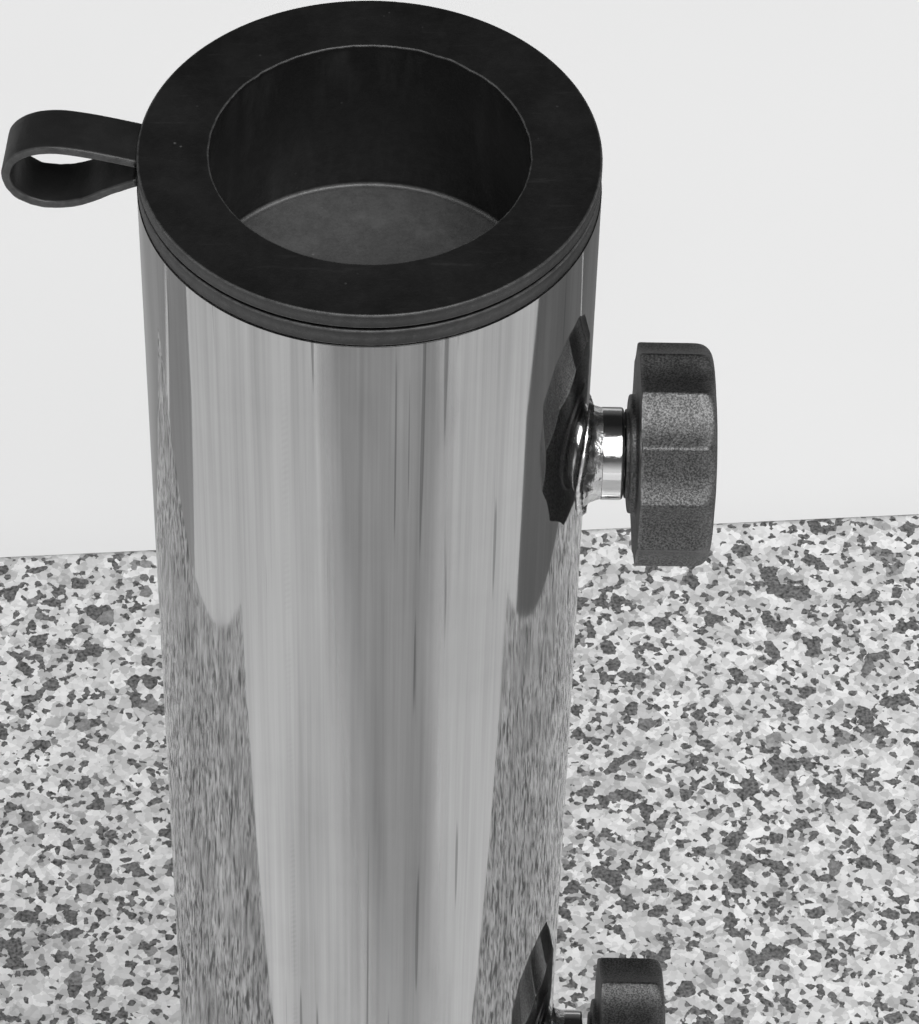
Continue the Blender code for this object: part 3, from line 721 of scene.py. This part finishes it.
def knob_outline():
    """Front face, rounded rim, straight skirt, back face and the stepped hub."""
    pocket = STUD_HEAD_START - 0.001
    rim = KNOB_FRONT - CAP_RISE
    return outline([
        (0, KNOB_FRONT, 0, 0), (0.0070, KNOB_FRONT - 0.0002, 0.003, 0),
        (CAP_RADIUS, rim + 0.0003, 0.0003, 0.8), (CAP_RADIUS + 0.0001, rim, 0.0001, 0),
        (KNOB_RADIUS, rim, KNOB_ROUNDING, 0.5),
        (KNOB_RADIUS, KNOB_BACK, 0.0005, 0.8), (KNOB_HUB + 0.0006, KNOB_BACK, 0.0002, 0),
        (KNOB_HUB, KNOB_BACK - 0.0003, 0.0003, 0), (KNOB_HUB, KNOB_HUB_START, 0.0004, 0.6),
        (KNOB_COLLAR, KNOB_HUB_START, 0.0001, 0), (KNOB_COLLAR, KNOB_FACE, 0.0002, 0),
        (BOLT_RADIUS + 0.0001, KNOB_FACE, 0.0001, 0), (BOLT_RADIUS + 0.0001, pocket, 0, 0),
        (0, pocket, 0, 0)], closed=False, arc=8, span=0.0009)


def fluted(radius, height, angle):
    """Cuts the concave flutes, with softened ridges between them."""
    step = 2 * pi / KNOB_FLUTES
    off = (angle % step) - step / 2
    reach = KNOB_RADIUS - FLUTE_DEPTH + FLUTE_RADIUS
    inside = max(0.0, FLUTE_RADIUS ** 2 - (reach * sin(off)) ** 2)
    flute = reach * cos(off) - sqrt(inside)
    gap = (radius - flute) / RIDGE_SOFTNESS
    if gap < -12:
        return radius, height
    if gap > 12:
        return flute, height
    return radius - RIDGE_SOFTNESS * log(1 + exp(gap)), height


def make_knob(side, backed_out, phase):
    place = screw_frame(side, backed_out) @ Matrix.Rotation(phase + pi / 2, 4, "Z")
    knob = turned(f"{side}_clamp_knob", knob_outline(), KNOB_PLASTIC, place,
                  KNOB_FLUTES * STEPS_PER_FLUTE, False, fluted)
    stand_for(knob, f"{side}_screw", f"{side}_knob")


# ---------------------------------------------------------------- rubber plug, collar and strap
def ragged(radius, height, angle):
    """Moulding flash: a slightly uneven mouth edge."""
    near = exp(-((radius - MOUTH_RADIUS) / 0.0006) ** 2) * (height > PLUG_TOP - 0.001)
    uneven = 0.00010 * wobble(angle, 0.0, 9.0) + 0.00005 * wobble(angle, 2.0, 30.0)
    return radius + near * uneven, height + near * uneven * 0.6


def make_plug():
    floor_height = PLUG_TOP - CUP_DEPTH
    under = PLUG_TOP - PLUG_FLANGE
    low = floor_height - CUP_FLOOR
    # the last number of each corner is painted light: highlights on the mouth, the floor's edge and the
    # flange's edges, and a lighter flange side
    profile = outline([
        (0, floor_height, 0, 0), (CUP_FLOOR_RADIUS - 0.001, floor_height, 0, 0.3),
        (CUP_FLOOR_RADIUS, floor_height, 0.0006, 1.0),
        (CUP_FLOOR_RADIUS, floor_height + 0.001, 0, 0.15),
        (MOUTH_RADIUS, PLUG_TOP, 0.0003, 0.8), (PLUG_RADIUS, PLUG_TOP, 0.00035, 0.7),
        (PLUG_RADIUS, (PLUG_TOP + under) / 2, 0, 0.25),
        (PLUG_RADIUS, under, 0.0003, 0.8), (CUP_OUTER, under, 0.0002, 0),
        (CUP_OUTER, low, 0.001, 0.3), (0, low, 0, 0)], closed=False, arc=6, span=0.0012)
    cup = turned("rubber_plug", profile, PLUG_RUBBER, TUBE_FRAME, 256, False, ragged)
    stand_for(cup, "plug", "plug_cup")


def make_collar():
    sleeve = TUBE_INNER - 0.0001
    inner = CUP_OUTER + 0.0002
    # the last number of each corner is painted light: highlights on the collar's edges and a lighter
    # side
    profile = outline([
        (inner, COLLAR_TOP, 0.0003, 0.3), (PLUG_RADIUS, COLLAR_TOP, 0.00035, 0.8),
        (PLUG_RADIUS, (COLLAR_TOP + COLLAR_BOTTOM) / 2, 0, 0.35),
        (PLUG_RADIUS, COLLAR_BOTTOM, 0.0003, 1.0), (sleeve, COLLAR_BOTTOM, 0.0001, 0),
        (sleeve, COLLAR_LOW.z, 0.0004, 0.3), (inner, COLLAR_LOW.z, 0.0004, 0.3)],
        arc=6, span=0.0012)
    collar = turned("rubber_collar", profile, PLUG_RUBBER, TUBE_FRAME, 256)
    stand_for(collar, "root", "rim_collar")


def smooth_path(points, per_span):
    """Catmull-Rom curve through the points."""
    ends = [points[0] * 2 - points[1]] + points + [points[-1] * 2 - points[-2]]
    path = []
    for a, b, c, d in zip(ends, ends[1:], ends[2:], ends[3:]):
        for step in range(per_span):
            t = step / per_span
            path.append(0.5 * ((2 * b) + (c - a) * t + (2 * a - 5 * b + 4 * c - d) * t ** 2
                               + (3 * b - a - 3 * c + d) * t ** 3))
    return path + [points[-1]]


def make_strap():
    """The moulded strap loops out from the plug's flange and back to the collar."""
    path = smooth_path([Vector((r, 0, PLUG_TOP + h)) for r, h in STRAP_LOOP], 8)
    half_width, half_thick = STRAP_WIDTH / 2, STRAP_THICKNESS / 2
    e = STRAP_EDGE
    section = outline([(-half_width, -half_thick, e, 1), (half_width, -half_thick, e, 1),
                       (half_width, half_thick, e, 1), (-half_width, half_thick, e, 1)],
                      arc=4, span=0.0009)
    rows, wear_and_painted_light = [], []
    for index, point in enumerate(path):
        along = path[min(index + 1, len(path) - 1)] - path[max(index - 1, 0)]
        along.normalize()
        across = Vector((-along.z, 0, along.x))
        row = []
        for width, thick, worn_and_lit in section:
            uneven = 0.00006 * noise.noise(Vector((index * 0.35, width * 300, thick * 900)))
            row.append(point + Vector((0, 1, 0)) * (width + uneven) + across * (thick + uneven))
        rows.append(row)
        # painted highlights on the strap's side faces and rounded edges
        wear_and_painted_light.append([0.45 * (abs(width) > half_width - 0.0001) + 0.25 * worn_and_lit
                     for width, _, worn_and_lit in section])
    rows = [[path[0]]] + rows + [[path[-1]]]
    wear_and_painted_light = [0.0] + wear_and_painted_light + [0.0]
    place = TUBE_FRAME @ Matrix.Rotation(STRAP_AZIMUTH, 4, "Z")
    strap = skin("rubber_strap", rows, PLUG_RUBBER, place, wear_and_painted_light=wear_and_painted_light)
    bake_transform(strap)
    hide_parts("tether_strap")


# ---------------------------------------------------------------- pieces that keep their CAD shape
def repaint(prefixes, mat):
    for name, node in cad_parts.items():
        if name.startswith(prefixes):
            node.data.materials.clear()
            node.data.materials.append(mat)


# ---------------------------------------------------------------- floor, painted reflection cards, lights and camera
def make_floor():
    """A pale floor that glows faintly far away, so that its horizon stays pale in low views."""
    bm = bmesh.new()
    bmesh.ops.create_grid(bm, x_segments=1, y_segments=1, size=FLOOR_REACH)
    ground = from_bmesh("floor", bm)
    paint = Paint("pale_floor", specular=0.15)
    mottle = paint.noise(3.0, 4.0, 0.5)
    away = paint.add("VectorMath", {0: paint.point}, operation="LENGTH").outputs["Value"]
    glow = paint.span(away, 1.5, 7.0, 0.0, 0.50, smooth=True)
    paint.put(paint.shader.inputs["Emission Color"], glow)
    paint.shader.inputs["Emission Strength"].default_value = 1.0
    ground.data.materials.append(paint.finish(paint.span(mottle, 0.3, 0.7, 0.80, 0.84), 0.8))


def make_reflection_card(name, corners, soften, shade):
    """A flat card just over the floor that only reflections see: a painted reflection of darker floor.
    It fades within soften of its edge.
    """
    centre = Vector((sum(x for x, _ in corners), sum(y for _, y in corners))) / len(corners)
    bm = bmesh.new()
    layer = bm.verts.layers.float.new("cover")
    inner, outer = [], []
    for x, y in corners:
        away = (Vector((x, y)) - centre).normalized() * soften
        inner.append(bm.verts.new((x - away.x, y - away.y, CARD_HEIGHT)))
        outer.append(bm.verts.new((x + away.x, y + away.y, CARD_HEIGHT)))
        inner[-1][layer] = 1.0
    bm.faces.new(inner)
    for k in range(len(corners)):
        after = (k + 1) % len(corners)
        bm.faces.new((inner[k], outer[k], outer[after], inner[after]))
    card = from_bmesh(name, bm)
    paint = Paint(name, specular=0.1)
    cover = paint.add("Attribute", attribute_name="cover").outputs["Fac"]
    paint.put(paint.shader.inputs["Alpha"], cover)
    mottle = paint.span(paint.noise(8.0), 0.3, 0.7, shade * 0.92, shade * 1.08)
    card.data.materials.append(paint.finish(mottle, 0.8))
    card.visible_camera = card.visible_diffuse = card.visible_shadow = False


def make_reflection_cards():
    # painted reflections of shaded floor to the right, behind and to the left, and of a shadow on the
    # floor in front
    make_reflection_card("painted_reflection_right", [(0.235, -0.119), (0.75, -0.119), (0.75, 0.16), (0.235, 0.16)],
              soften=0.004, shade=0.20)
    make_reflection_card("painted_reflection_back_right", [(0.05, 0.165), (0.75, 0.165), (0.75, 1.10), (0.05, 1.10)],
              soften=0.004, shade=0.18)
    make_reflection_card("painted_reflection_left", [(-0.245, 0.02), (-0.9, 0.02), (-0.9, 0.135), (-0.245, 0.135)],
              soften=0.008, shade=0.40)
    make_reflection_card("painted_reflection_back_left", [(-0.9, 0.150), (0.04, 0.150), (0.04, 1.10), (-0.9, 1.10)],
              soften=0.008, shade=0.40)
    make_reflection_card("painted_shadow_reflection_front", [(-0.30, -0.80), (-0.17, -0.43), (-0.06, -0.322), (0.03, -0.235),
                             (0.11, -0.228), (0.15, -0.314), (0.23, -0.38), (0.34, -0.80)],
              soften=0.045, shade=0.50)


def make_world():
    """Pale to the camera; as a light, bright near the horizon in front and dim above and behind."""
    world = bpy.data.worlds.new("studio")
    world.use_nodes = True
    tree = world.node_tree

    def add(kind, values=()):
        node = tree.nodes.new("ShaderNode" + kind)
        for number, value in values:
            if isinstance(value, bpy.types.NodeSocket):
                tree.links.new(value, node.inputs[number])
            else:
                node.inputs[number].default_value = value
        return node

    direction = add("TexCoord").outputs["Generated"]
    split = add("SeparateXYZ", [(0, direction)]).outputs
    high = add("MapRange", [(0, split["Z"]), (1, 0.05), (2, 0.45), (3, 0.85), (4, 0.10)])
    back = add("MapRange", [(0, split["Y"]), (1, -0.2), (2, 0.5), (3, 1.0), (4, 0.18)])
    level = add("Math", [(0, high.outputs[0]), (1, back.outputs[0])])
    level.operation = "MULTIPLY"
    seen = add("LightPath").outputs["Is Camera Ray"]
    shown = add("Mix", [(0, seen), (2, level.outputs[0]), (3, 0.85)])
    tree.links.new(shown.outputs[0], tree.nodes["Background"].inputs["Color"])
    bpy.context.scene.world = world


def soft_light(name, azimuth, elevation, distance, size, power):
    """A square softbox that faces a point on the tube's axis, half-way up the object."""
    data = bpy.data.lights.new(name, "AREA")
    data.shape, data.size, data.energy = "SQUARE", size, power
    light = add_object(name, data)
    away = Vector((cos(azimuth) * cos(elevation), sin(azimuth) * cos(elevation), sin(elevation)))
    light.location = Vector((AXIS.x, AXIS.y, PLUG_TOP / 2)) + away * distance
    light.rotation_mode = "QUATERNION"
    light.rotation_quaternion = (-away).to_track_quat("-Z", "Y")


def make_camera():
    data = bpy.data.cameras.new("camera")
    data.lens, data.sensor_width, data.sensor_fit = CAMERA_LENS, 36.0, "AUTO"
    data.clip_start, data.clip_end = 0.01, 50.0
    camera = add_object("camera", data)
    camera.location = Vector((AXIS.x, AXIS.y, PLUG_TOP)) + CAMERA_FROM_PLUG
    camera.rotation_euler = CAMERA_TURN
    bpy.context.scene.camera = camera


# ---------------------------------------------------------------- everything together
make_slab()
make_flange()
make_base_weld()
make_fasteners()
make_tube()
for number, (side, (backed_out, phase)) in enumerate(CLAMPS.items()):
    make_boss(side)
    make_boss_weld(side, 10.0 * number)
    make_stud(side, backed_out)
    make_knob(side, backed_out, phase)
make_plug()
make_collar()
make_strap()
repaint(("anchor_sleeve", "foot_screw"), ZINC)
repaint(("rubber_foot",), FOOT_RUBBER)
repaint(("pole_rest", "upper_pressure_pad", "lower_pressure_pad"), NYLON)

make_floor()
make_reflection_cards()
make_world()
soft_light("key", azimuth=radians(-73), elevation=radians(65), distance=7.0, size=5.4, power=590)
soft_light("fill", azimuth=radians(175), elevation=radians(30), distance=6.0, size=3.2, power=48)
make_camera()
bpy.context.scene.view_settings.view_transform = "Standard"
